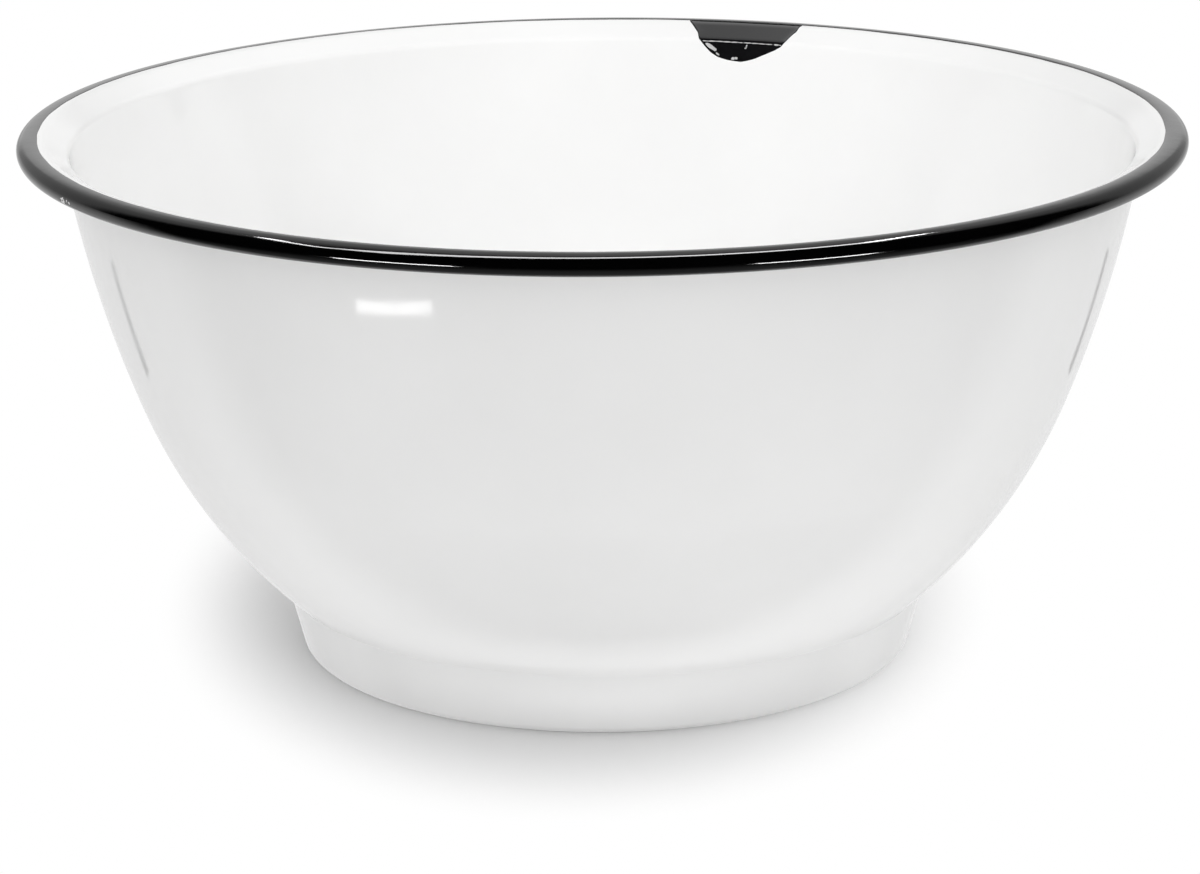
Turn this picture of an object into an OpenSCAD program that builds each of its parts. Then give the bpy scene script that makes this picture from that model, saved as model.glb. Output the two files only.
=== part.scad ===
// Enamelled steel basin bowl with a pressed foot and a rolled black rim.
// The bowl is one pressed steel sheet with fired coats of enamel on both faces.
// Every layer follows one path: the finished outer face from the middle of the base to the end of the roll.

/* [Bowl] */
// Diameter over the rolled rim
rim_d = 300; // [260:1:360]
// Height from the table to the crest of the rim
bowl_h = 139; // [115:1:180]
// Reach of the rim beyond the outside of the wall
rim_reach = 11.6; // [9.5:0.1:20]
// Lean of the wall from upright just under the rim, in degrees
wall_top_lean = 9; // [5:0.5:16]
// Lean of the wall from upright just above the foot, in degrees
wall_foot_lean = 48; // [36:0.5:60]

/* [Foot] */
// Outside diameter at the crease between foot and wall
foot_d = 169; // [140:1:190]
// Height of the crease above the table
foot_h = 16.7; // [10:0.1:30]
// Lean of the foot from upright, in degrees
foot_lean = 14.5; // [5:0.5:25]
// Outside radius of the bottom edge of the foot
foot_edge_r = 2.6; // [2:0.1:6]
// Outside radius of the crease
crease_r = 1.5; // [0.5:0.1:5]
// Width of the flat ring that the bowl stands on
ring_w = 10; // [4:0.5:30]
// Height of the raised middle of the base
recess_h = 2; // [0.5:0.1:4]
// Radius of the two bends that raise the middle of the base
recess_bend_r = 4; // [2.5:0.1:8]

/* [Rim] */
// Slope of the lip above level, in degrees
lip_slope = 31; // [20:0.5:45]
// Outside radius of the bend under the lip
lip_bend_r = 0.8; // [0.3:0.1:2]
// Radius of the bend over the crest
crest_r = 6; // [3:0.1:8]
// Distance from the crest to the outer edge of the rim
bead_reach = 4.5; // [3:0.1:5.5]
// Height of the rolled bead
bead_h = 5.3; // [4.4:0.1:7]
// Radius of the shallow crown between the crest and the nose of the bead
crown_r = 14; // [10:0.5:30]
// How far the roll turns in past its lowest point, in degrees
roll_tuck = 25; // [5:1:35]
// How far the black edge reaches in over the crest bend, in degrees
black_start = 8; // [1:1:15]

/* [Sheet and enamel] */
// Thickness of the steel sheet
sheet_t = 0.8; // [0.5:0.05:1]
// Thickness of the dark ground coat
ground_t = 0.15; // [0.1:0.01:0.2]
// Thickness of the white and black cover coats
cover_t = 0.3; // [0.15:0.01:0.35]

/* [Chip] */
// Place of the chip, in degrees clockwise from the back
chip_turn = 17; // [0:1:90]
// Width of the chip at the rim
chip_w = 33.5; // [10:0.5:60]
// Drop of the chip below the crest of the rim
chip_drop = 9.9; // [6:0.1:30]

/* [Hidden] */

// Largest distance of a straight facet from the curve that it stands for
curve_err = 0.012;
// Facets of the turned surfaces, for the preview mesh
turn_fn = 180;
// Points along the outline of the chip
chip_steps = 12;
// How squarely the chip ends: 2 is an ellipse, less is more pointed
chip_power = 1.45;

// Depths of the layer faces, from the finished outer face inwards
outer_ground_at = cover_t;
outer_steel_at = outer_ground_at + ground_t;
inner_steel_at = outer_steel_at + sheet_t;
inner_ground_at = inner_steel_at + ground_t;
wall_t = inner_ground_at + cover_t;

// Unit vector along a heading, and the one to its left, towards the inside of the bowl
function ahead(h) = [cos(h), sin(h)];
function inward(h) = [-sin(h), cos(h)];
// Length that a round bend takes from each side of a sharp corner
function setback(r, turn) = r * tan(abs(turn) / 2);

// Rim: a flattened roll, drawn on the finished face, whose nose is tangent to the crown above and below
crest_at = rim_d / 2 - bead_reach;
half_h = bead_h / 2;
nose_r = (2 * crown_r * half_h - bead_reach * bead_reach - half_h * half_h) / (2 * (crown_r - bead_reach));
nose_turn = atan2(bead_reach - nose_r, crown_r - half_h);

// Lip: its outer face runs straight from the wall to the crest
lip_end = [crest_at, bowl_h - crest_r] + (crest_r - wall_t) * inward(lip_slope);
lip_root_r = rim_d / 2 - rim_reach;
lip_root = [lip_root_r, lip_end[1] - (lip_end[0] - lip_root_r) * tan(lip_slope)];
lip_turn = 90 - wall_top_lean - lip_slope;
lip_l = norm(lip_end - lip_root) - setback(lip_bend_r, lip_turn);

// Foot: a tapered step pressed out of the same sheet
base_r = foot_d / 2 - foot_h * tan(foot_lean);
edge_turn = 90 - foot_lean;
crease_turn = wall_foot_lean - foot_lean;
foot_l = foot_h / cos(foot_lean) - setback(foot_edge_r, edge_turn) - setback(crease_r, crease_turn);
ring_end_r = base_r - setback(foot_edge_r, edge_turn);
recess_turn = acos(1 - recess_h / (2 * recess_bend_r));
panel_r = ring_end_r - ring_w - 2 * recess_bend_r * sin(recess_turn);

// Wall: two arcs of equal tangent length that run smoothly from the crease to the lip
wall_foot_heading = 90 - wall_foot_lean;
wall_top_heading = 90 - wall_top_lean;
wall_start = [foot_d / 2, foot_h] + setback(crease_r, crease_turn) * ahead(wall_foot_heading);
wall_end = lip_root - setback(lip_bend_r, lip_turn) * ahead(wall_top_heading);
wall_span = wall_end - wall_start;
wall_bow = 1 - ahead(wall_foot_heading) * ahead(wall_top_heading);
wall_along = wall_span * (ahead(wall_foot_heading) + ahead(wall_top_heading));
wall_tangent = (sqrt(wall_along * wall_along + 2 * wall_bow * wall_span * wall_span) - wall_along)
    / (2 * wall_bow);
wall_mid = wall_span - wall_tangent * (ahead(wall_foot_heading) + ahead(wall_top_heading));
wall_mid_heading = atan2(wall_mid[1], wall_mid[0]);
lower_turn = wall_mid_heading - wall_foot_heading;
upper_turn = wall_top_heading - wall_mid_heading;

// The path: a straight is [length], a bend is [radius, turn], and a turn to the left is positive
PATH = [
    [panel_r],
    [recess_bend_r, -recess_turn],
    [recess_bend_r, recess_turn],
    [ring_w],
    [foot_edge_r, edge_turn],
    [foot_l],
    [crease_r, -crease_turn],
    [wall_tangent / tan(abs(lower_turn) / 2), lower_turn],
    [wall_tangent / tan(abs(upper_turn) / 2), upper_turn],
    [lip_bend_r, -lip_turn],
    [lip_l],
    [crest_r - wall_t, black_start - lip_slope],
    [crest_r - wall_t, -black_start],
    [crown_r - wall_t, -nose_turn],
    [nose_r - wall_t, 2 * nose_turn - 180],
    [crown_r - wall_t, -nose_turn],
    [crest_r - wall_t, -roll_tuck]
];
// Places in the path where a coat ends
LIP = 10;
BLACK_EDGE = 11;
ROLL_END = len(PATH) - 1;

// Stations along the path are [radius, height, heading]
function spot(s) = [s[0], s[1]];
function is_straight(piece) = len(piece) == 1;
function steps(piece) = is_straight(piece) ? 1
    : max(2, ceil(abs(piece[1]) / (2 * acos(1 - curve_err / (piece[0] + wall_t)))));
function along(piece, s, k) =
    is_straight(piece) ? concat(spot(s) + piece[0] * ahead(s[2]), s[2])
    : let (turn = piece[1] * k / steps(piece))
      let (side = sign(piece[1]) * piece[0])
      concat(spot(s) + side * (inward(s[2]) - inward(s[2] + turn)), s[2] + turn);
function walk(s, i = 0) = i == len(PATH) ? []
    : let (run = [for (k = [1 : steps(PATH[i])]) along(PATH[i], s, k)])
      concat(run, walk(run[len(run) - 1], i + 1));
function station_after(i) = i < 0 ? 0 : steps(PATH[i]) + station_after(i - 1);
start = [0, recess_h, 0];
stations = concat([start], walk(start));

// A layer between two depths, from one station of the path to another
function at_depth(s, depth) = spot(s) + depth * inward(s[2]);
module layer(outer_at, inner_at, first, last) {
    outer_face = [for (i = [first : last]) at_depth(stations[i], outer_at)];
    inner_face = [for (i = [last : -1 : first]) at_depth(stations[i], inner_at)];
    rotate_extrude($fn = turn_fn) polygon(concat(outer_face, inner_face));
}

// A tongue that widens to the crest of the rim, pushed outwards through the coat
function tongue(u) = [
    chip_w / 2 * sign(cos(u)) * pow(abs(cos(u)), 2 / chip_power),
    -chip_drop * pow(sin(u), 2 / chip_power)
];
module chip_cutter() {
    outline = [for (k = [0 : chip_steps]) tongue(180 * k / chip_steps)];
    top = [[chip_w / 2, chip_drop], [-chip_w / 2, chip_drop]];
    rotate([0, 0, -chip_turn])
        translate([0, rim_d / 2, bowl_h])
            rotate([90, 0, 0])
                linear_extrude(rim_d / 4) polygon(concat(outline, [top[1], top[0]]));
}

// The pressed sheet: base, foot, wall, lip and roll in one piece
module steel_shell() {
    color("slategray")
        layer(outer_steel_at, inner_steel_at, 0, station_after(ROLL_END));
}

// The first fired coat on the inner face, which goes over the crest and round the roll
module ground_coat_inside() {
    color("#26262a")
        layer(inner_steel_at, inner_ground_at, 0, station_after(ROLL_END));
}

// The first fired coat on the outer face, which ends inside the roll
module ground_coat_outside() {
    color("#26262a")
        layer(outer_ground_at, outer_steel_at, 0, station_after(ROLL_END));
}

// The white coat of the inside, open at the chip
module white_coat_inside() {
    color("#f5f5f3")
        difference() {
            layer(inner_ground_at, wall_t, 0, station_after(BLACK_EDGE));
            chip_cutter();
        }
}

// The white coat of the outside, from the base to the underside of the lip
module white_coat_outside() {
    color("#e4e4e4")
        layer(0, outer_ground_at, 0, station_after(LIP));
}

// The black coat of the bead, from the crest round the roll
module black_rim_coat() {
    color("#0c0c0d")
        layer(inner_ground_at, wall_t, station_after(BLACK_EDGE), station_after(ROLL_END));
}

steel_shell();
ground_coat_inside();
ground_coat_outside();
white_coat_inside();
white_coat_outside();
black_rim_coat();
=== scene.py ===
from math import acos, atan2, copysign, cos, degrees, exp, hypot, pi, radians, sin, sqrt, tan

import bmesh
import bpy
from mathutils import Matrix, Vector


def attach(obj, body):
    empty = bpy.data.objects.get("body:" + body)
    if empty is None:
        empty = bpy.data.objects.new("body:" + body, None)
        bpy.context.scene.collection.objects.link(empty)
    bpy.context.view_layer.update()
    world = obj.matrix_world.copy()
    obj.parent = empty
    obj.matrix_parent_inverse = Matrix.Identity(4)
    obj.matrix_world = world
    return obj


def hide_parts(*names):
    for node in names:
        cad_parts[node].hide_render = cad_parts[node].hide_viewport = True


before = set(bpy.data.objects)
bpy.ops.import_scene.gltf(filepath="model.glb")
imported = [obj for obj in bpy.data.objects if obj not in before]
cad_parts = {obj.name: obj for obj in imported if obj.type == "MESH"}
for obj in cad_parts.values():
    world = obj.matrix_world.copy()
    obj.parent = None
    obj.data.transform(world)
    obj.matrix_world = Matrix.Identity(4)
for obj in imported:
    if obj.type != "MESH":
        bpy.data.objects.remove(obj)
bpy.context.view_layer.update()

scene = bpy.context.scene

# The bowl's measures, in millimetres and degrees, as the frame has them
MM = 0.001
RIM_D = 300.0
BOWL_H = 139.0
RIM_REACH = 11.6
WALL_TOP_LEAN = 9.0
WALL_FOOT_LEAN = 48.0
FOOT_D = 169.0
FOOT_H = 16.7
FOOT_LEAN = 14.5
FOOT_EDGE_R = 2.6
CREASE_R = 1.5
RING_W = 10.0
RECESS_H = 2.0
RECESS_BEND_R = 4.0
LIP_SLOPE = 31.0
LIP_BEND_R = 0.8
CREST_R = 6.0
BEAD_REACH = 4.5
BEAD_H = 5.3
CROWN_R = 14.0
ROLL_TUCK = 25.0
BLACK_START = 8.0
SHEET_T = 0.8
GROUND_T = 0.15
COVER_T = 0.3
COAT_EDGE_R = 0.07
WALL_T = SHEET_T + 2 * (GROUND_T + COVER_T)
CREST_AT = RIM_D / 2 - BEAD_REACH
CREST_Z = BOWL_H - CREST_R

# The chip's left and right edge, as height and degrees clockwise from the back
CHIP_MID = 17.3
CHIP_FOOT = 128.75
CHIP_WALL_L = 5.05
CHIP_LEFT = (
    (128.75, 17.3), (128.82, 16.2), (129.0, 15.8), (129.35, 15.2), (129.75, 14.5), (131.08, 13.55),
    (132.66, 12.85), (134.27, 12.25), (134.74, 12.05), (136.29, 11.7), (137.45, 11.15), (139.0, 10.4),
)
CHIP_RIGHT = (
    (128.75, 17.3), (129.11, 18.2), (129.7, 19.0), (130.89, 20.1), (132.46, 21.55), (133.6, 22.35),
    (135.41, 22.95), (136.62, 23.3), (137.47, 23.65), (138.54, 23.75), (139.0, 23.95),
)
CHIP_EASE = 26.0

# White flakes in the chip, partly a painted highlight: the rows at about 10.1 inside the crest lay a line of
# white flakes along the bend between lip and wall, standing in for its glint. Columns: degrees from the back,
# reach past the crest, half length and width, tilt, lower and upper face
CHIP_FLAKES_AND_RIDGE_GLINT = (
    (13.55, -11.75, 2.0, 0.6, -32, -0.3, -0.06),
    (14.4, -13.75, 0.65, 0.24, -36, -0.3, -0.06),
    (16.35, -14.95, 0.6, 0.5, 20, -0.3, -0.1),
    (16.75, -14.75, 0.45, 0.38, -15, -0.3, -0.04),
    (18.0, -10.95, 0.26, 0.2, 30, -0.3, -0.16),
    (17.96, -11.38, 0.22, 0.18, -20, -0.3, -0.18),
    (17.86, -11.75, 0.28, 0.18, 10, -0.3, -0.17),
    # Painted highlight: these rows are a line of white flakes along the bend between lip and wall, standing
    # in for the glint on it
    (12.75, -10.05, 1.2, 0.15, -2, -0.3, -0.1),
    (13.65, -10.05, 1.25, 0.2, 1, -0.3, -0.08),
    (14.6, -10.05, 1.3, 0.17, -1, -0.3, -0.1),
    (15.5, -10.1, 1.2, 0.2, 0, -0.3, -0.08),
    (16.4, -10.12, 1.15, 0.19, 2, -0.3, -0.09),
    (17.2, -10.15, 1.0, 0.14, -2, -0.3, -0.11),
    (18.1, -10.15, 1.2, 0.18, 0, -0.3, -0.09),
    (19.0, -10.18, 1.25, 0.16, 1, -0.3, -0.1),
    (19.9, -10.2, 1.2, 0.15, -1, -0.3, -0.1),
    (20.8, -10.22, 1.1, 0.14, 0, -0.3, -0.11),
    (21.75, -10.25, 0.75, 0.26, -3, -0.3, -0.06),
    (22.25, -10.3, 0.5, 0.13, -8, -0.3, -0.1),
)
RIM_NICK = (
    (240.0, 6.55, 1.1, 0.85, 10, -0.1, 0.05),
    (239.0, 6.1, 0.24, 0.3, 0, -0.1, 0.04),
    (238.5, 6.4, 0.36, 0.4, -20, -0.1, 0.04),
)


def edge_at(edge, height):
    """Degrees of a chip edge at a height, between the two nearest points of it."""
    if height <= edge[0][0]:
        return edge[0][1]
    for (low, a), (high, b) in zip(edge, edge[1:]):
        if height <= high:
            return a + (b - a) * (height - low) / (high - low)
    return edge[-1][1]


def ahead(heading):
    return Vector((cos(radians(heading)), 0, sin(radians(heading))))


def inward(heading):
    return Vector((-sin(radians(heading)), 0, cos(radians(heading))))


def setback(radius, turn):
    return radius * tan(radians(abs(turn)) / 2)


def face_runs():
    """Straights (length, 0) and bends (radius, turn) of the outer face, from the middle of the base."""
    half_h = BEAD_H / 2
    nose_r = (2 * CROWN_R * half_h - BEAD_REACH ** 2 - half_h ** 2) / (2 * (CROWN_R - BEAD_REACH))
    nose_turn = degrees(atan2(BEAD_REACH - nose_r, CROWN_R - half_h))
    lip_end = Vector((CREST_AT, 0, CREST_Z)) + (CREST_R - WALL_T) * inward(LIP_SLOPE)
    root_r = RIM_D / 2 - RIM_REACH
    lip_root = Vector((root_r, 0, lip_end.z - (lip_end.x - root_r) * tan(radians(LIP_SLOPE))))
    lip_turn = 90 - WALL_TOP_LEAN - LIP_SLOPE
    lip_l = (lip_end - lip_root).length - setback(LIP_BEND_R, lip_turn)
    edge_turn = 90 - FOOT_LEAN
    crease_turn = WALL_FOOT_LEAN - FOOT_LEAN
    foot_l = FOOT_H / cos(radians(FOOT_LEAN))
    foot_l -= setback(FOOT_EDGE_R, edge_turn) + setback(CREASE_R, crease_turn)
    ring_end = FOOT_D / 2 - FOOT_H * tan(radians(FOOT_LEAN)) - setback(FOOT_EDGE_R, edge_turn)
    recess_turn = degrees(acos(1 - RECESS_H / (2 * RECESS_BEND_R)))
    panel_r = ring_end - RING_W - 2 * RECESS_BEND_R * sin(radians(recess_turn))
    low, high = 90 - WALL_FOOT_LEAN, 90 - WALL_TOP_LEAN
    begin = Vector((FOOT_D / 2, 0, FOOT_H)) + setback(CREASE_R, crease_turn) * ahead(low)
    span = lip_root - setback(LIP_BEND_R, lip_turn) * ahead(high) - begin
    bow = 1 - ahead(low).dot(ahead(high))
    along = span.dot(ahead(low) + ahead(high))
    tangent = (sqrt(along ** 2 + 2 * bow * span.dot(span)) - along) / (2 * bow)
    middle = span - tangent * (ahead(low) + ahead(high))
    middle_heading = degrees(atan2(middle.z, middle.x))
    lower, upper = middle_heading - low, high - middle_heading
    upper_r = tangent / tan(radians(upper) / 2)
    chip_part = degrees(CHIP_WALL_L / upper_r)
    return {
        "panel": (panel_r, 0),
        "recess_down": (RECESS_BEND_R, -recess_turn),
        "recess_flat": (RECESS_BEND_R, recess_turn),
        "ring": (RING_W, 0),
        "foot_edge": (FOOT_EDGE_R, edge_turn),
        "foot": (foot_l, 0),
        "crease": (CREASE_R, -crease_turn),
        "lower_wall": (tangent / tan(radians(lower) / 2), lower),
        "upper_wall": (upper_r, upper - chip_part),
        "wall_at_chip": (upper_r, chip_part),
        "lip_bend": (LIP_BEND_R, -lip_turn),
        "lip": (lip_l, 0),
        "crest_white": (CREST_R - WALL_T, BLACK_START - LIP_SLOPE),
        "crest_black": (CREST_R - WALL_T, -BLACK_START),
        "crown": (CROWN_R - WALL_T, -nose_turn),
        "nose": (nose_r - WALL_T, 2 * nose_turn - 180),
        "under_crown": (CROWN_R - WALL_T, -nose_turn),
        "tuck": (CREST_R - WALL_T, -ROLL_TUCK),
    }


RUNS = face_runs()
STEPS = {
    "panel": 3, "recess_down": 5, "recess_flat": 5, "ring": 1, "foot_edge": 8, "foot": 3, "crease": 6,
    "lower_wall": 26, "upper_wall": 20, "wall_at_chip": 13, "lip_bend": 10, "lip": 10, "crest_white": 6,
    "crest_black": 4, "crown": 5, "nose": 26, "under_crown": 5, "tuck": 6,
}


def walk(depth):
    """The runs of the face at a depth: name, start, heading, signed radius, turn, length."""
    spot, heading = Vector((0, 0, RECESS_H + depth)), 0.0
    for name, (size, turn) in RUNS.items():
        side = copysign(size, turn) - depth
        length = abs(radians(turn) * side) if turn else size
        yield name, spot, heading, side, turn, length
        spot = spot + (side * (inward(heading) - inward(heading + turn)) if turn else size * ahead(heading))
        heading += turn


def draw_face(depth, first, last):
    """A line in the XZ plane along the face at a depth, drawn by spins and extrusions."""
    bm = bmesh.new()
    tip = None
    for name, spot, heading, side, turn, length in walk(depth):
        if name == first:
            tip = bm.verts.new(spot)
        if tip and turn:
            made = bmesh.ops.spin(
                bm, geom=[tip], cent=spot + side * inward(heading), axis=(0, -1, 0), angle=radians(turn),
                steps=STEPS[name])
            tip = next(g for g in made["geom_last"] if isinstance(g, bmesh.types.BMVert))
        elif tip:
            for _ in range(STEPS[name]):
                tip = bmesh.ops.extrude_vert_indiv(bm, verts=[tip])["verts"][0]
                bmesh.ops.translate(bm, verts=[tip], vec=length / STEPS[name] * ahead(heading))
        if name == last:
            return bm


def place_on_rim(reach):
    """Radius, height and heading on the finished face, at a reach past the crest (negative is inside)."""
    runs = list(walk(WALL_T))
    names = [run[0] for run in runs]
    reach += sum(run[5] for run in runs[:names.index("crown")])
    for name, spot, heading, side, turn, length in runs:
        if reach <= length or name == "tuck":
            on = turn * reach / length
            step = side * (inward(heading) - inward(heading + on)) if turn else reach * ahead(heading)
            place = spot + step
            return place.x, place.z, heading + on
        reach -= length


def compass(place):
    """Degrees clockwise from the back, seen from above."""
    return degrees(atan2(place.x, place.y))


def put_at(vert, radius, azimuth, height):
    vert.co = (radius * sin(radians(azimuth)), radius * cos(radians(azimuth)), height)


def turn_round(bm, azimuth, sweep, count, closed):
    """Turn the drawn line clockwise about the bowl's axis. Returns the vertices of the last line."""
    line = bm.verts[:]
    bmesh.ops.rotate(bm, verts=line, cent=(0, 0, 0), matrix=Matrix.Rotation(radians(90 - azimuth), 3, "Z"))
    made = bmesh.ops.spin(
        bm, geom=line + bm.edges[:], cent=(0, 0, 0), axis=(0, 0, 1), angle=-radians(sweep), steps=count,
        use_merge=closed)
    return [g for g in made["geom_last"] if isinstance(g, bmesh.types.BMVert)]


def close_and_orient(bm, lead, up):
    """Merge the doubles and turn the sheet so that its lowest or highest face looks up or down."""
    bmesh.ops.remove_doubles(bm, verts=bm.verts[:], dist=0.0005)
    bmesh.ops.recalc_face_normals(bm, faces=bm.faces[:])
    bm.normal_update()
    if lead(bm.faces, key=lambda f: f.calc_center_median().z).normal.z * up < 0:
        bmesh.ops.reverse_faces(bm, faces=bm.faces[:])
    bm.normal_update()


def black_edge(azimuth):
    """Degrees from the crest to the hand-dipped edge of the black, all round the rim."""
    a = radians(azimuth)
    sway = 3.6 * sin(a) + 0.8 * sin(3 * a + 0.7) + 0.6 * sin(7 * a + 2.1)
    ripple = 0.45 * sin(19 * a + 1.3) + 0.35 * sin(43 * a + 0.4) + 0.3 * sin(71 * a + 2.9)
    return 10.4 + sway + ripple


def dip_edge(bm, under_cover, white):
    """Slide the rows on the crest along it, so that white and black meet on the same uneven line."""
    bend_r = CREST_R - under_cover
    for vert in bm.verts:
        lean = degrees(atan2(CREST_AT - hypot(vert.co.x, vert.co.y), vert.co.z - CREST_Z))
        if vert.co.z < CREST_Z + CREST_R / 2 or not 0.05 < lean < LIP_SLOPE - 0.05:
            continue
        azimuth = compass(vert.co)
        edge = black_edge(azimuth)
        if white:
            lean = LIP_SLOPE - (LIP_SLOPE - lean) * (LIP_SLOPE - edge) / (LIP_SLOPE - BLACK_START)
        else:
            lean = lean * edge / BLACK_START
        put_at(vert, CREST_AT - bend_r * sin(radians(lean)), azimuth, CREST_Z + bend_r * cos(radians(lean)))


def finish_piece(bm, name, material):
    """Bring the mesh to metres and make it an object that rides on the bowl."""
    bmesh.ops.scale(bm, vec=(MM, MM, MM), verts=bm.verts[:])
    for face in bm.faces:
        face.smooth = True
    mesh = bpy.data.meshes.new(name)
    bm.to_mesh(mesh)
    bm.free()
    mesh.materials.append(material)
    piece = bpy.data.objects.new(name, mesh)
    scene.collection.objects.link(piece)
    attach(piece, "root")
    return piece


def thicken(piece):
    """Give a sheet the thickness of a cover coat, under the face that shows, with soft edges."""
    coat = piece.modifiers.new("coat", "SOLIDIFY")
    coat.thickness = COVER_T * MM
    coat.offset = -1
    coat.use_even_offset = True
    soft = piece.modifiers.new("soft_edges", "BEVEL")
    soft.width = COAT_EDGE_R * MM
    soft.segments = 2
    soft.limit_method = "ANGLE"
    soft.angle_limit = radians(50)
    even = piece.modifiers.new("even_normals", "WEIGHTED_NORMAL")
    even.weight = 80


def white_enamel_inside(material):
    """The white coat of the inside, opened along the chip."""
    bm = draw_face(WALL_T, "panel", "crest_white")
    last = set(turn_round(bm, CHIP_MID, 360, 320, False))
    for vert in bm.verts:
        height = vert.co.z
        if height < CHIP_FOOT:
            continue
        radius = hypot(vert.co.x, vert.co.y)
        past = 360.0 if vert in last else (compass(vert.co) - CHIP_MID) % 360
        if past > 359.999 and vert not in last:
            past = 0.0
        right = edge_at(CHIP_RIGHT, height) - CHIP_MID
        left = CHIP_MID - edge_at(CHIP_LEFT, height)
        if past < CHIP_EASE:
            put_at(vert, radius, CHIP_MID + right + past * (1 - right / CHIP_EASE), height)
        elif past > 360 - CHIP_EASE:
            put_at(vert, radius, CHIP_MID - left - (360 - past) * (1 - left / CHIP_EASE), height)
    dip_edge(bm, 0, True)
    close_and_orient(bm, min, 1)
    piece = finish_piece(bm, "white_enamel_inside", material)
    thicken(piece)
    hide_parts("white_coat_inside")
    return piece


def white_enamel_outside(material):
    """The white coat of the outside: base, foot, wall and the underside of the lip."""
    bm = draw_face(0, "panel", "lip")
    turn_round(bm, 0, 360, 300, True)
    close_and_orient(bm, min, -1)
    piece = finish_piece(bm, "white_enamel_outside", material)
    thicken(piece)
    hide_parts("white_coat_outside")
    return piece


def black_enamel_rim(material):
    """The black coat from the dipped edge on the crest round the roll."""
    bm = draw_face(WALL_T, "crest_black", "tuck")
    turn_round(bm, 0, 360, 480, True)
    dip_edge(bm, 0, False)
    close_and_orient(bm, max, 1)
    piece = finish_piece(bm, "black_enamel_rim", material)
    thicken(piece)
    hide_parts("black_rim_coat")
    return piece


def chip_ground_enamel(material):
    """The dark ground coat laid bare in the chip: a dish that climbs to the broken edge of the white."""
    sweep, columns = 14.0, 72
    base_lift, edge_gap = 0.085, 0.01
    bm = draw_face(WALL_T - COVER_T, "wall_at_chip", "crest_white")
    turn_round(bm, CHIP_MID - sweep / 2, sweep, columns, False)
    bm.normal_update()
    lifts = {}
    for vert in bm.verts:
        height = vert.co.z
        radius = hypot(vert.co.x, vert.co.y)
        share = (compass(vert.co) - CHIP_MID) / sweep + 0.5
        left, right = edge_at(CHIP_LEFT, height + 0.1), edge_at(CHIP_RIGHT, height + 0.1)
        width = radians(right - left) * radius
        from_left, from_right = share * width, (1 - share) * width
        from_foot = max(0.0, height - CHIP_FOOT)
        climb = max(exp(-from_left / 1.2), exp(-from_right / 0.5), exp(-from_foot / 0.7))
        lifts[vert] = base_lift + (COVER_T - base_lift - edge_gap) * climb
        put_at(vert, radius, left + (right - left) * share, height)
    dip_edge(bm, COVER_T, True)
    close_and_orient(bm, max, 1)
    for vert in bm.verts:
        vert.co += vert.normal * lifts[vert]
    bm.normal_update()
    piece = finish_piece(bm, "chip_ground_enamel", material)
    coat = piece.modifiers.new("coat", "SOLIDIFY")
    coat.thickness = 0.015 * MM
    coat.offset = -1
    return piece


def enamel_flakes(name, flakes, material):
    """Small ragged flakes of white enamel: discs raised and rounded, then laid on the rim's face."""
    bm = bmesh.new()
    for azimuth, reach, half_long, half_wide, tilt, low, high in flakes:
        settled = set(bm.verts)
        disc = bmesh.ops.create_circle(bm, cap_ends=True, radius=1, segments=14)["verts"]
        for n, vert in enumerate(disc):
            ragged = 1 + 0.14 * sin(2.3 * n + 5 * azimuth) + 0.1 * sin(4.1 * n + azimuth)
            vert.co = (vert.co.x * half_long * ragged, vert.co.y * half_wide * ragged, low)
        bmesh.ops.rotate(bm, verts=disc, cent=(0, 0, 0), matrix=Matrix.Rotation(radians(tilt), 3, "Z"))
        raised = bmesh.ops.extrude_face_region(bm, geom=[disc[0].link_faces[0]])["geom"]
        top = [g for g in raised if isinstance(g, bmesh.types.BMVert)]
        bmesh.ops.translate(bm, verts=top, vec=(0, 0, high - low))
        rim = {e for v in top for e in v.link_edges if e.other_vert(v) in top}
        bmesh.ops.bevel(
            bm, geom=list(rim), offset=min(0.5 * (high - low), 0.25 * half_wide), offset_type="OFFSET",
            segments=2, profile=0.5, affect="EDGES", material=-1)
        for vert in bm.verts:
            if vert not in settled:
                radius, height, heading = place_on_rim(reach + vert.co.y)
                rise = vert.co.z * inward(heading)
                put_at(vert, radius + rise.x, azimuth + degrees(vert.co.x / radius), height + rise.z)
    bmesh.ops.recalc_face_normals(bm, faces=bm.faces[:])
    return finish_piece(bm, name, material)


# Finishes

def new_finish(name):
    finish = bpy.data.materials.new(name)
    finish.use_nodes = True
    nodes, links = finish.node_tree.nodes, finish.node_tree.links
    place = nodes.new("ShaderNodeTexCoord").outputs["Object"]
    return finish, nodes, links, nodes["Principled BSDF"], place


def grain(nodes, links, place, scale, detail=2.0, roughness=0.5):
    """Noise on the piece's own coordinates. The scale is in waves per metre."""
    noise = nodes.new("ShaderNodeTexNoise")
    noise.inputs["Scale"].default_value = scale
    noise.inputs["Detail"].default_value = detail
    noise.inputs["Roughness"].default_value = roughness
    links.new(place, noise.inputs["Vector"])
    return noise.outputs["Fac"]


def tone(nodes, links, source, dark, light, low=0.3, high=0.7):
    ramp = nodes.new("ShaderNodeValToRGB")
    ramp.color_ramp.elements[0].position = low
    ramp.color_ramp.elements[1].position = high
    ramp.color_ramp.elements[0].color = (*dark, 1)
    ramp.color_ramp.elements[1].color = (*light, 1)
    links.new(source, ramp.inputs["Fac"])
    return ramp.outputs["Color"]


def spread(nodes, links, source, low, high):
    span = nodes.new("ShaderNodeMapRange")
    span.inputs["From Min"].default_value = 0.3
    span.inputs["From Max"].default_value = 0.7
    span.inputs["To Min"].default_value = low
    span.inputs["To Max"].default_value = high
    links.new(source, span.inputs["Value"])
    return span.outputs["Result"]


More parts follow.
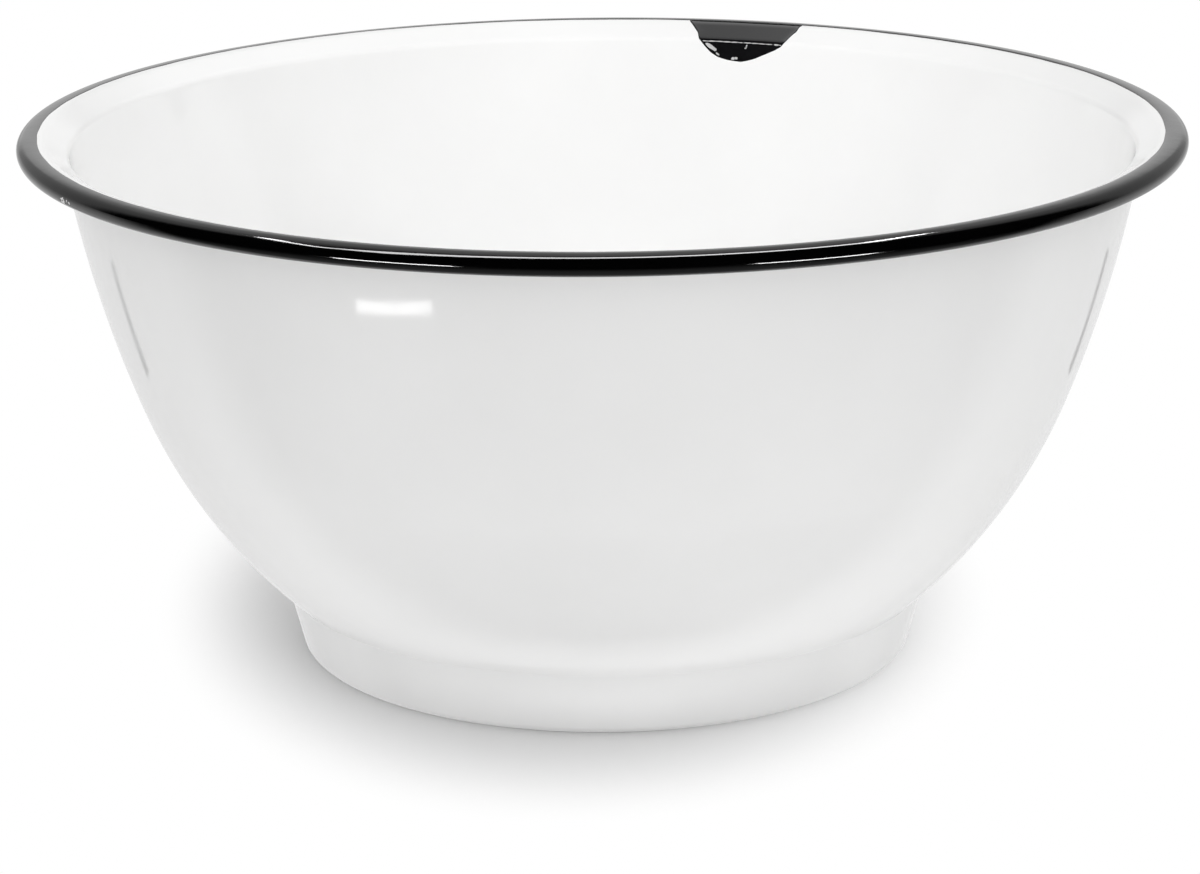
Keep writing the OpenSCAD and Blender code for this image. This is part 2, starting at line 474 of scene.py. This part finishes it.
def relief(nodes, links, source, depth, under=None):
    bump = nodes.new("ShaderNodeBump")
    bump.inputs["Strength"].default_value = 1.0
    bump.inputs["Distance"].default_value = depth
    links.new(source, bump.inputs["Height"])
    if under:
        links.new(under, bump.inputs["Normal"])
    return bump.outputs["Normal"]


def enamel(name, dark, light, rough_low, rough_high, wave, wave_depth, peel, peel_depth):
    """Fired glass enamel: slow tone drift, uneven gloss, slow waves and a fine orange peel."""
    finish, nodes, links, shader, place = new_finish(name)
    drift = grain(nodes, links, place, 22, 3)
    links.new(tone(nodes, links, drift, dark, light), shader.inputs["Base Color"])
    gloss = grain(nodes, links, place, 130, 4)
    links.new(spread(nodes, links, gloss, rough_low, rough_high), shader.inputs["Roughness"])
    waves = relief(nodes, links, grain(nodes, links, place, wave, 1), wave_depth)
    skin = relief(nodes, links, grain(nodes, links, place, peel, 2), peel_depth, waves)
    links.new(skin, shader.inputs["Normal"])
    shader.inputs["IOR"].default_value = 1.5
    return finish


def sheet_steel():
    """Pressed sheet steel with the faint lines of the rolling mill."""
    finish, nodes, links, shader, place = new_finish("sheet_steel")
    stretch = nodes.new("ShaderNodeMapping")
    stretch.inputs["Scale"].default_value = (1, 24, 24)
    links.new(place, stretch.inputs["Vector"])
    lines = grain(nodes, links, stretch.outputs["Vector"], 60, 4)
    greys = tone(nodes, links, lines, (0.36, 0.365, 0.38), (0.48, 0.485, 0.5))
    links.new(greys, shader.inputs["Base Color"])
    links.new(spread(nodes, links, lines, 0.28, 0.42), shader.inputs["Roughness"])
    links.new(relief(nodes, links, lines, 0.00002), shader.inputs["Normal"])
    shader.inputs["Metallic"].default_value = 1.0
    return finish


WHITE = enamel(
    "white_enamel", (0.85, 0.85, 0.847), (0.875, 0.875, 0.872), 0.05, 0.1,
    wave=45, wave_depth=0.00003, peel=420, peel_depth=0.000003)
BLACK = enamel(
    "black_enamel", (0.0005, 0.0005, 0.0006), (0.001, 0.001, 0.0011), 0.05, 0.09,
    wave=160, wave_depth=0.00003, peel=900, peel_depth=0.000008)
GROUND = enamel(
    "ground_enamel", (0.007, 0.007, 0.008), (0.012, 0.012, 0.013), 0.1, 0.13,
    wave=220, wave_depth=0.000008, peel=900, peel_depth=0.000003)
STEEL = sheet_steel()

for node, finish in (
    ("steel_shell", STEEL), ("ground_coat_inside", GROUND), ("ground_coat_outside", GROUND),
):
    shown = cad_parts[node]
    shown.data.materials.clear()
    shown.data.materials.append(finish)

inside = white_enamel_inside(WHITE)
outside = white_enamel_outside(WHITE)
rim = black_enamel_rim(BLACK)
bare_chip = chip_ground_enamel(GROUND)
# The chip's white flakes, with the painted highlight along its bend
enamel_flakes("chip_flakes_and_painted_ridge_glint", CHIP_FLAKES_AND_RIDGE_GLINT, WHITE)
enamel_flakes("rim_nick_flakes", RIM_NICK, WHITE)


# Studio: a white table, a soft room that is dark behind the camera, and lamps that each serve one piece

def fade(nodes, links, source, start, end, low, high):
    """A soft step from one level to another."""
    step = nodes.new("ShaderNodeMapRange")
    step.interpolation_type = "SMOOTHSTEP"
    step.inputs["From Min"].default_value = start
    step.inputs["From Max"].default_value = end
    step.inputs["To Min"].default_value = low
    step.inputs["To Max"].default_value = high
    links.new(source, step.inputs["Value"])
    return step.outputs["Result"]


def combine(nodes, links, operation, first, second):
    step = nodes.new("ShaderNodeMath")
    step.operation = operation
    for socket, value in zip(step.inputs, (first, second)):
        if isinstance(value, (int, float)):
            socket.default_value = value
        else:
            links.new(value, socket)
    return step.outputs["Value"]


def paper(name, level):
    finish, nodes, links, shader, place = new_finish(name)
    shader.inputs["Base Color"].default_value = (level, level, level, 1)
    shader.inputs["Roughness"].default_value = 0.9
    shader.inputs["Specular IOR Level"].default_value = 0.0
    return finish, nodes, links, shader, place


# The shadow on the table: shift and stretch of its oval, and the distances where it starts and ends to fade
SHADOW_SHIFT = (0.013, -0.044, 0.0)
SHADOW_OVAL = (1.6, 1.0, 1.0)
SHADOW_FADE = (0.12, 0.185)
TABLE_Z = 0.0002


def table_paper():
    """White paper that keeps the bowl's shadow and is plain white to the eye further out."""
    finish, nodes, links, shader, place = paper("table_paper", 0.9)
    oval = nodes.new("ShaderNodeMapping")
    oval.inputs["Location"].default_value = SHADOW_SHIFT
    oval.inputs["Scale"].default_value = SHADOW_OVAL
    links.new(place, oval.inputs["Vector"])
    reach = nodes.new("ShaderNodeVectorMath")
    reach.operation = "LENGTH"
    links.new(oval.outputs["Vector"], reach.inputs[0])
    away = fade(nodes, links, reach.outputs["Value"], *SHADOW_FADE, 0.0, 1.0)
    eye = nodes.new("ShaderNodeLightPath").outputs["Is Camera Ray"]
    white = nodes.new("ShaderNodeEmission")
    white.inputs["Color"].default_value = (1, 1, 1, 1)
    white.inputs["Strength"].default_value = 1.0
    mixed = nodes.new("ShaderNodeMixShader")
    links.new(combine(nodes, links, "MULTIPLY", away, eye), mixed.inputs["Fac"])
    links.new(shader.outputs["BSDF"], mixed.inputs[1])
    links.new(white.outputs["Emission"], mixed.inputs[2])
    links.new(mixed.outputs["Shader"], nodes["Material Output"].inputs["Surface"])
    return finish


def studio_sheet(name, middle, length, width, turn, finish):
    """A flat sheet of paper on the table plane, turned from the X axis."""
    bm = bmesh.new()
    sheet = bmesh.ops.create_grid(bm, x_segments=1, y_segments=1, size=0.5)["verts"]
    bmesh.ops.scale(bm, vec=(length, width, 1), verts=sheet)
    bmesh.ops.rotate(bm, verts=sheet, cent=(0, 0, 0), matrix=Matrix.Rotation(radians(turn), 3, "Z"))
    bmesh.ops.translate(bm, verts=sheet, vec=middle)
    mesh = bpy.data.meshes.new(name)
    bm.to_mesh(mesh)
    bm.free()
    mesh.materials.append(finish)
    sheet = bpy.data.objects.new(name, mesh)
    scene.collection.objects.link(sheet)
    return sheet


def studio_floor():
    """The table. The gloss doesn't show it, but shows two grey stand legs behind the bowl."""
    table = studio_sheet("table", (0, 0, TABLE_Z), 12, 12, 0, table_paper())
    table.visible_glossy = False
    grey = paper("stand_legs", 0.4)[0]
    for leg in (
        studio_sheet("leg_left", (-0.275, 0.1365, 0), 0.126, 0.014, -40.2, grey),
        studio_sheet("leg_right", (0.255, 0.1925, 0), 0.141, 0.014, 50.5, grey),
    ):
        leg.visible_camera = False
        leg.visible_diffuse = False
        leg.visible_shadow = False


# Soft lights of the room: direction, width as the power of a cosine, radiance where 1 is white
ROOM = (
    ((0.0, -0.98, 0.2), 6, 1.15),
    ((0.95, -0.1, 0.3), 4, 0.95),
    ((-0.95, -0.1, 0.3), 4, 0.9),
    ((0.5, 0.5, 0.7), 12, 1.8),
    ((-0.6, 0.15, 0.78), 12, 0.6),
    ((0.0, 0.98, 0.2), 4, 0.8),
    ((0.0, 0.0, 1.0), 3, 0.3),
)


def studio_world():
    """Soft light from all round. The gloss shows a pale wall behind and a dark front."""
    world = bpy.data.worlds.new("studio")
    scene.world = world
    world.use_nodes = True
    nodes, links = world.node_tree.nodes, world.node_tree.links
    outlook = nodes.new("ShaderNodeTexCoord").outputs["Generated"]
    axes = nodes.new("ShaderNodeSeparateXYZ")
    links.new(outlook, axes.inputs["Vector"])
    back, up = axes.outputs["Y"], axes.outputs["Z"]
    rays = nodes.new("ShaderNodeLightPath")

    level = 0.0
    for direction, width, radiance in ROOM:
        facing = nodes.new("ShaderNodeVectorMath")
        facing.operation = "DOT_PRODUCT"
        facing.inputs[1].default_value = Vector(direction).normalized()
        links.new(outlook, facing.inputs[0])
        ahead_only = combine(nodes, links, "MAXIMUM", facing.outputs["Value"], 0.0)
        lobe = combine(nodes, links, "POWER", ahead_only, width)
        level = combine(nodes, links, "ADD", combine(nodes, links, "MULTIPLY", lobe, radiance), level)
    room = nodes["Background"]
    room.inputs["Color"].default_value = (1, 1, 1, 1)
    links.new(level, room.inputs["Strength"])

    wall_middle = fade(nodes, links, back, 0.9, 0.97, 0.0, 0.45)
    wall = combine(nodes, links, "MULTIPLY", wall_middle, fade(nodes, links, up, 0.25, 0.45, 1.0, 0.0))
    wall = combine(nodes, links, "ADD", wall, fade(nodes, links, back, 0.25, 0.5, 0.0, 0.42))
    wall = combine(nodes, links, "MULTIPLY", wall, fade(nodes, links, up, -0.02, 0.02, 0.0, 1.0))
    ground_behind = fade(nodes, links, back, 0.0, 0.4, 0.0, 0.86)
    ground = combine(nodes, links, "MULTIPLY", ground_behind, fade(nodes, links, up, -0.05, -0.28, 0.65, 1.0))
    ground = combine(nodes, links, "MULTIPLY", ground, fade(nodes, links, up, 0.02, -0.02, 0.0, 1.0))
    ground = combine(nodes, links, "MAXIMUM", ground, fade(nodes, links, up, -0.25, -0.95, 0.0, 0.28))
    mirrored = nodes.new("ShaderNodeBackground")
    mirrored.inputs["Color"].default_value = (1, 1, 1, 1)
    links.new(combine(nodes, links, "ADD", wall, ground), mirrored.inputs["Strength"])

    seen = nodes.new("ShaderNodeBackground")
    seen.inputs["Color"].default_value = (1, 1, 1, 1)
    seen.inputs["Strength"].default_value = 1.0

    in_gloss = nodes.new("ShaderNodeMixShader")
    links.new(rays.outputs["Is Glossy Ray"], in_gloss.inputs["Fac"])
    links.new(room.outputs["Background"], in_gloss.inputs[1])
    links.new(mirrored.outputs["Background"], in_gloss.inputs[2])
    in_view = nodes.new("ShaderNodeMixShader")
    links.new(rays.outputs["Is Camera Ray"], in_view.inputs["Fac"])
    links.new(in_gloss.outputs["Shader"], in_view.inputs[1])
    links.new(seen.outputs["Background"], in_view.inputs[2])
    links.new(in_view.outputs["Shader"], nodes["World Output"].inputs["Surface"])


def softbox(name, piece, place, aim, width, height, radiance, lights=True, glints=True, turn=0):
    """An area lamp for one piece, of a radiance where 1 is white. It lights it, glints in it, or both."""
    lamp = bpy.data.lights.new(name, "AREA")
    lamp.shape = "RECTANGLE"
    lamp.size, lamp.size_y = width, height
    lamp.energy = radiance * pi * width * height
    box = bpy.data.objects.new(name, lamp)
    box.location = place
    pointed = (Vector(aim) - Vector(place)).to_track_quat("-Z", "Y")
    box.rotation_euler = (pointed.to_matrix() @ Matrix.Rotation(radians(turn), 3, "Z")).to_euler()
    box.visible_camera = False
    box.visible_diffuse = lights
    box.visible_glossy = glints
    scene.collection.objects.link(box)
    lit = bpy.data.collections.new(name)
    lit.objects.link(piece)
    box.light_linking.receiver_collection = lit


# The camera: focal length for a 36 mm sensor, place in metres, and its turns in degrees
LENS_MM = 118.29
CAMERA_PLACE = (-0.00124, -1.0, 0.34636)
LOOK_DOWN = 16.322
LOOK_ROLL = -0.481


def studio_camera():
    """The photograph's view: 1 m in front of the bowl's axis, a long lens, a slight roll."""
    lens = bpy.data.cameras.new("camera")
    lens.sensor_width = 36.0
    lens.lens = LENS_MM
    lens.clip_start = 0.01
    lens.clip_end = 50.0
    camera = bpy.data.objects.new("camera", lens)
    tilt = Matrix.Rotation(radians(90 - LOOK_DOWN), 4, "X") @ Matrix.Rotation(radians(LOOK_ROLL), 4, "Z")
    camera.matrix_world = Matrix.Translation(CAMERA_PLACE) @ tilt
    scene.collection.objects.link(camera)
    scene.camera = camera


# Lamps that only light: name, place, aim, width, height, radiance
IN_BOWL = (0, 0.05, 0.1)
ON_WALL = (0, 0, 0.1)
INSIDE_LAMPS = (
    ("fill_front", (0, -1.3, 0.95), (0, 0.1, 0.1), 0.6, 0.4, 9.2),
    ("fill_left", (-0.9, -0.9, 0.85), IN_BOWL, 0.4, 0.4, 10.4),
    ("fill_right", (0.9, -0.9, 0.85), IN_BOWL, 0.4, 0.4, 6.3),
)
OUTSIDE_LAMPS = (
    ("low_front", (0, -0.8, 0.03), ON_WALL, 0.9, 0.05, 1.6),
    ("low_left", (-0.6, -0.5, 0.03), ON_WALL, 0.5, 0.05, 5),
    ("low_right", (0.6, -0.5, 0.03), ON_WALL, 0.5, 0.05, 6.5),
    ("table_glow", (0, -0.14, 0.001), (0, -0.14, 1), 0.26, 0.1, 0.3),
    ("table_glow_near", (0, -0.115, 0.001), (0, -0.115, 1), 0.24, 0.05, 0.1),
    ("table_glow_left", (-0.15, -0.12, 0.001), (-0.15, -0.12, 1), 0.1, 0.1, 0.34),
    ("table_glow_right", (0.15, -0.12, 0.001), (0.15, -0.12, 1), 0.1, 0.1, 0.2),
    ("table_glow_far", (0, -0.55, 0.001), (0, -0.55, 1), 0.9, 0.25, 1.4),
    ("foot_glow_left", (-0.085, -0.109, 0.008), (-0.05, -0.064, 0.012), 0.07, 0.014, 0.8),
    ("foot_glow_right", (0.085, -0.109, 0.008), (0.05, -0.064, 0.012), 0.07, 0.014, 1.0),
    ("fill_back", (0, 1.3, 0.45), (0, 0, 0.08), 0.8, 0.5, 2.2),
)
# Lamps that only glint: name, piece, place, aim, width, height, radiance, turn
FRONT_RIM = (0, -0.147, 0.139)
GLINTS = (
    ("wall_patch", outside, (-0.1775, -0.24, 0.004), (-0.1775, -0.24, 1), 0.075, 0.013, 7, 38),
    ("chip_sheen", bare_chip, (0.043, 0.56, 1.045), (0.043, 0.14, 0.135), 1.2, 1.25, 1.0, 0),
    ("rim_line", rim, (-0.17, 0.3, 1.9), (-0.17, 0.3, 0), 2.0, 0.45, 14, 31),
    ("rim_line_left", rim, (-1.01, 0.48, 1.9), (-1.01, 0.48, 0), 1.35, 0.08, 25, 77),
    ("rim_line_right", rim, (0.65, 1.35, 1.9), (0.65, 1.35, 0), 1.2, 0.08, 30, 92),
    ("rim_low_left", rim, (-0.275, -0.409, 0.012), FRONT_RIM, 0.18, 0.034, 40, 0),
    ("rim_low_right", rim, (0.275, -0.409, 0.012), FRONT_RIM, 0.18, 0.034, 40, 0),
)

studio_floor()
studio_world()
for piece, lamps in ((inside, INSIDE_LAMPS), (outside, OUTSIDE_LAMPS)):
    for name, place, aim, width, height, radiance in lamps:
        softbox(name, piece, place, aim, width, height, radiance, glints=False)
for name, piece, place, aim, width, height, radiance, turn in GLINTS:
    softbox(name, piece, place, aim, width, height, radiance, lights=False, turn=turn)
studio_camera()

scene.view_settings.view_transform = "Standard"
